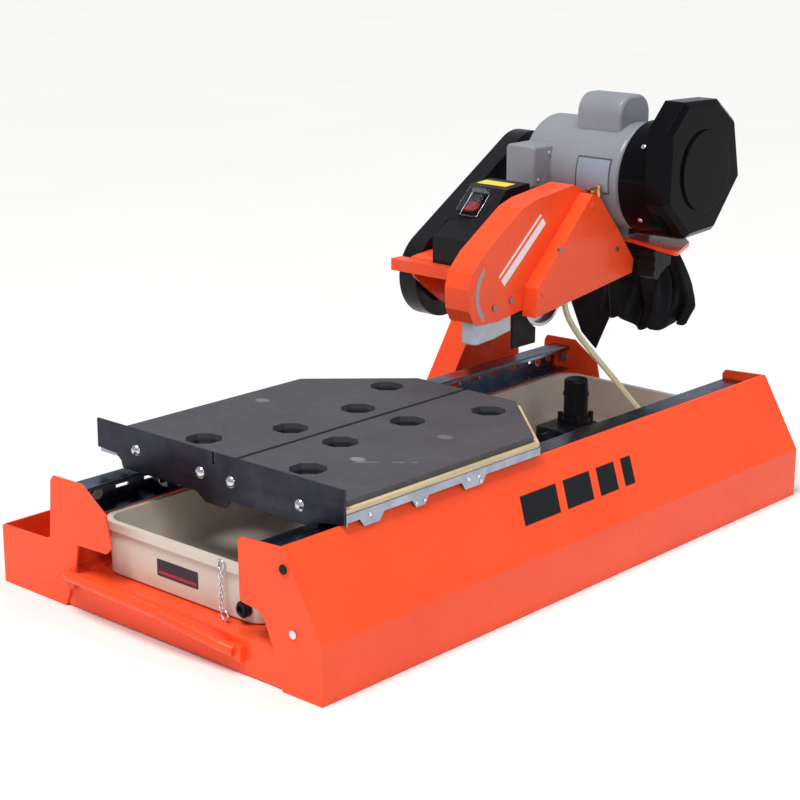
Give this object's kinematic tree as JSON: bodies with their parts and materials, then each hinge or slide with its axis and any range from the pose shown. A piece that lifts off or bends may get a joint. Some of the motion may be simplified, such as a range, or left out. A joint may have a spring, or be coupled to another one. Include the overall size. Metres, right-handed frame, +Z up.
{
  "type": "wet tile saw",
  "caption": "Wet tile saw with a sheet-metal frame, rolling table with fence, water tray with pump, and a tilting head that carries a guarded belt-driven spindle and its motor",
  "frame": {"origin": "on the floor, at the middle of the footprint", "axes": "+X to the operator's right, +Y from the operator's end to the motor end, +Z up"},
  "size_m": [0.61, 1.102, 0.62],
  "materials": {
    "orange_paint": "glossy orange powder coat",
    "black_paint": "gloss black powder coat",
    "black_steel": "black oxide steel",
    "zinc": "zinc-plated sheet",
    "bright_steel": "bright plated steel",
    "turned_steel": "turned steel",
    "iron_core": "wound iron core",
    "motor_paint": "satin light grey paint",
    "cover_black": "gloss black moulding",
    "beige_plastic": "beige moulded plastic",
    "black_plastic": "black moulded plastic",
    "red_plastic": "red and black rocker",
    "clear_plastic": "clear cover",
    "table_rubber": "grey speckled rubber mat",
    "board": "tan sealed board",
    "flap_rubber": "pale grey rubber sheet",
    "black_rubber": "black rubber sheet",
    "brass": "brass fittings",
    "hose_clear": "translucent hose"
  },
  "bodies": {
    "frame": {"right_side_panel": "orange_paint", "left_side_channel": "orange_paint", "front_right_plate": "orange_paint", "front_left_plate": "orange_paint", "rear_end_plates": "orange_paint", "head_post": "orange_paint", "cross_members": "orange_paint", "rail_brackets": "orange_paint", "lift_handle": "orange_paint", "left_rail": "zinc", "right_rail": "zinc", "frame_bolts": "bright_steel", "tray_chain": "bright_steel", "water_tray": "beige_plastic", "pump_housing": "black_plastic", "pump_can": "black_plastic", "drain_plug": "black_plastic"},
    "cart": {"cart_tray": "zinc", "cart_board": "board", "table_pads": "table_rubber", "fence": "zinc", "cart_bolts": "bright_steel", "roller_brackets": "black_paint"},
    "roller_fl": {"roller_front_left": "bright_steel"},
    "roller_rl": {"roller_rear_left": "bright_steel"},
    "roller_fr": {"roller_front_right": "bright_steel"},
    "roller_rr": {"roller_rear_right": "bright_steel"},
    "head": {"pivot_shaft": "black_steel", "arm_weldment": "orange_paint", "spindle_housing": "orange_paint", "shaft_bearings": "black_steel", "blade_guard": "orange_paint", "guard_screws": "bright_steel", "guard_flap": "flap_rubber", "guard_skirt": "black_rubber", "side_cover": "orange_paint", "drive_belt": "black_rubber", "belt_guard": "black_paint", "motor_base_plate": "orange_paint", "motor_shell": "motor_paint", "motor_stator": "iron_core", "conduit_box": "motor_paint", "capacitor_cover": "motor_paint", "motor_end_cover": "cover_black", "switch_box": "black_plastic", "switch_bracket": "black_paint", "water_valve": "brass", "splash_curtain": "black_rubber", "hose": "hose_clear"},
    "spindle": {"arbor_shaft": "turned_steel", "blade_flanges": "turned_steel", "arbor_nut": "bright_steel", "spindle_pulley": "turned_steel"},
    "rotor": {"motor_rotor": "turned_steel", "motor_pulley": "turned_steel"},
    "impeller": {"pump_impeller": "black_plastic"},
    "knob": {"lock_knob": "black_plastic"},
    "rocker": {"switch_rocker": "red_plastic"},
    "rocker_cover": {"switch_cover": "clear_plastic"},
    "lever": {"valve_lever": "brass"}
  },
  "joints": [
    {"name": "cart_slide", "type": "slide", "parent": "frame", "child": "cart", "axis": [0, 1, 0], "range_m": [-0.08, 0.4]},
    {"name": "head_tilt", "type": "hinge", "parent": "frame", "child": "head", "pos_m": [-0.02, 0.44144, 0.362], "axis": [1, 0, 0], "range_deg": [-12, 4], "deforming": ["hose"]},
    {"name": "motor_spin", "type": "hinge", "parent": "head", "child": "rotor", "pos_m": [-0.02, 0.43544, 0.494], "axis": [1, 0, 0], "continuous": true},
    {"name": "spindle_spin", "type": "hinge", "parent": "head", "child": "spindle", "pos_m": [-0.06, 0.24344, 0.334], "axis": [1, 0, 0], "continuous": true},
    {"name": "impeller_spin", "type": "hinge", "parent": "frame", "child": "impeller", "pos_m": [0.041, 0.32144, 0.09], "axis": [0, 0, 1], "continuous": true},
    {"name": "knob_turn", "type": "hinge", "parent": "head", "child": "knob", "pos_m": [0.092, 0.44144, 0.362], "axis": [1, 0, 0], "range_deg": [0, 360]},
    {"name": "rocker_tip", "type": "hinge", "parent": "head", "child": "rocker", "pos_m": [-0.066, 0.19644, 0.4635], "axis": [1, 0, 0], "range_deg": [-8, 0]},
    {"name": "rocker_cover_hinge", "type": "hinge", "parent": "head", "child": "rocker_cover", "pos_m": [-0.066, 0.21149, 0.48272], "axis": [1, 0, 0], "range_deg": [-85, 0]},
    {"name": "valve_turn", "type": "hinge", "parent": "head", "child": "lever", "pos_m": [0.054, 0.34444, 0.486], "axis": [0, 0, 1], "range_deg": [0, 90]},
    {"name": "roller_fl_roll", "type": "hinge", "parent": "cart", "child": "roller_fl", "pos_m": [-0.155, -0.35556, 0.147], "axis": [1, 0, 0], "continuous": true},
    {"name": "roller_rl_roll", "type": "hinge", "parent": "cart", "child": "roller_rl", "pos_m": [-0.155, -0.00056, 0.147], "axis": [1, 0, 0], "continuous": true},
    {"name": "roller_fr_roll", "type": "hinge", "parent": "cart", "child": "roller_fr", "pos_m": [0.1882, -0.35556, 0.147], "axis": [1, 0, 0], "continuous": true},
    {"name": "roller_rr_roll", "type": "hinge", "parent": "cart", "child": "roller_rr", "pos_m": [0.1882, -0.00056, 0.147], "axis": [1, 0, 0], "continuous": true}
  ],
  "couplings": [
    {"joint": "spindle_spin", "follows": "motor_spin", "ratio": 1.2636},
    {"joint": "roller_fl_roll", "follows": "cart_slide", "rad_per_m": -56.818},
    {"joint": "roller_rl_roll", "follows": "cart_slide", "rad_per_m": -56.818},
    {"joint": "roller_fr_roll", "follows": "cart_slide", "rad_per_m": -56.818},
    {"joint": "roller_rr_roll", "follows": "cart_slide", "rad_per_m": -56.818}
  ]
}
